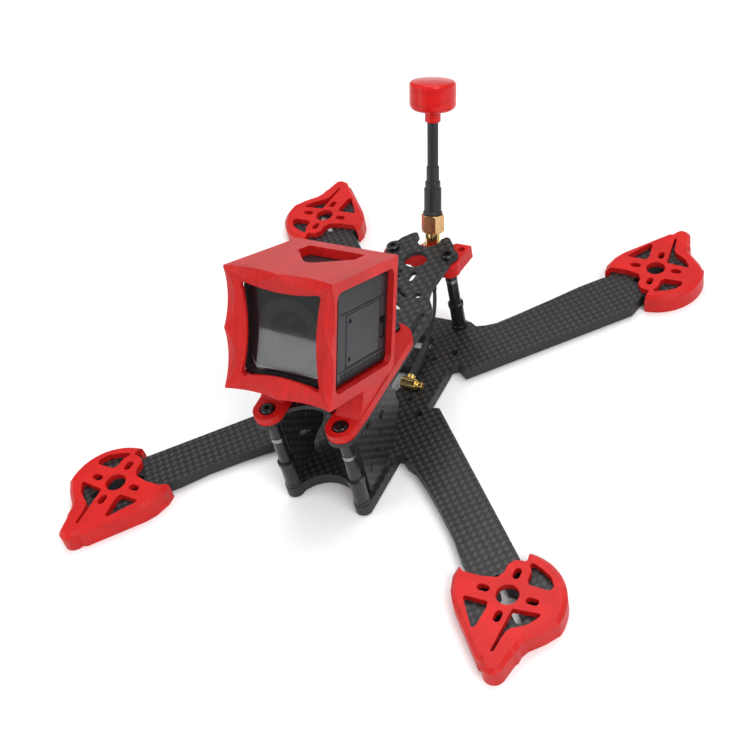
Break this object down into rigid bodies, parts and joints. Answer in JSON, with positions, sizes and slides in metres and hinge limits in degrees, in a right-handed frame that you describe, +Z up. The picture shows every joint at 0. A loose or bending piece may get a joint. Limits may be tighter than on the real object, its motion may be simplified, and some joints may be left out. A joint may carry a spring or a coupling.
{
  "type": "fpv racing drone",
  "caption": "Carbon racing drone airframe with printed arm-end guards, a tilted action camera in a printed cage and a leaning video antenna.",
  "frame": {"origin": "centre of the footprint, on the ground under the guards", "axes": "+Z up, -Y towards the nose and camera, +X towards the drone's left"},
  "size_m": [0.2126, 0.2418, 0.1088],
  "materials": {
    "carbon": "woven carbon laminate, satin",
    "red_print": "printed flexible plastic with fine layer lines",
    "black_metal": "black anodised",
    "bright_metal": "polished",
    "black_steel": "black oxide, shiny",
    "camera_shell": "dark grey, fine grain",
    "dark_gloss": "polished black",
    "lens": "coated glass",
    "gold": "gold plated",
    "cable_black": "satin jacket"
  },
  "bodies": {
    "airframe": {"main_plate": "carbon", "top_plate": "carbon", "left_camera_plate": "carbon", "right_camera_plate": "carbon", "front_left_guard": "red_print", "front_right_guard": "red_print", "rear_left_guard": "red_print", "rear_right_guard": "red_print", "standoffs": "black_metal", "standoff_rings": "bright_metal", "bottom_screws": "black_steel", "top_plate_screws": "black_steel", "cage_front_screws": "black_steel", "cage_rear_screws": "black_steel", "camera_cage": "red_print", "camera_body": "camera_shell", "front_window": "dark_gloss", "lens_ring": "dark_gloss", "lens_barrel": "dark_gloss", "lens_glass": "lens", "window_trim": "bright_metal", "antenna_mount": "red_print", "antenna_socket": "gold", "socket_nut": "gold", "antenna_plug": "gold", "antenna_sleeve": "cable_black", "antenna_stem": "cable_black", "antenna_cap": "red_print", "video_lead": "cable_black", "lead_sleeves": "cable_black", "lead_plug": "gold"},
    "door": {"side_door": "camera_shell"},
    "latch": {"card_latch": "dark_gloss"},
    "shutter": {"shutter_button": "dark_gloss"},
    "nut": {"coupling_nut": "gold"}
  },
  "joints": [
    {"name": "door_hinge", "type": "hinge", "parent": "airframe", "child": "door", "pos_m": [0.0179, -0.05421, 0.07943], "axis": [0, -0.4446, -0.8957], "range_deg": [0, 100]},
    {"name": "latch_slide", "type": "slide", "parent": "airframe", "child": "latch", "axis": [0, 0.4446, 0.8957], "range_m": [0, 0.0024]},
    {"name": "shutter_press", "type": "slide", "parent": "airframe", "child": "shutter", "axis": [0, -0.4446, -0.8957], "range_m": [0, 0.001], "stiffness_N_per_m": 900, "springref_m": -0.0005},
    {"name": "nut_turn", "type": "hinge", "parent": "airframe", "child": "nut", "pos_m": [0, 0.0474, 0.0422], "axis": [0, 0.3371, 0.9415], "continuous": true}
  ]
}
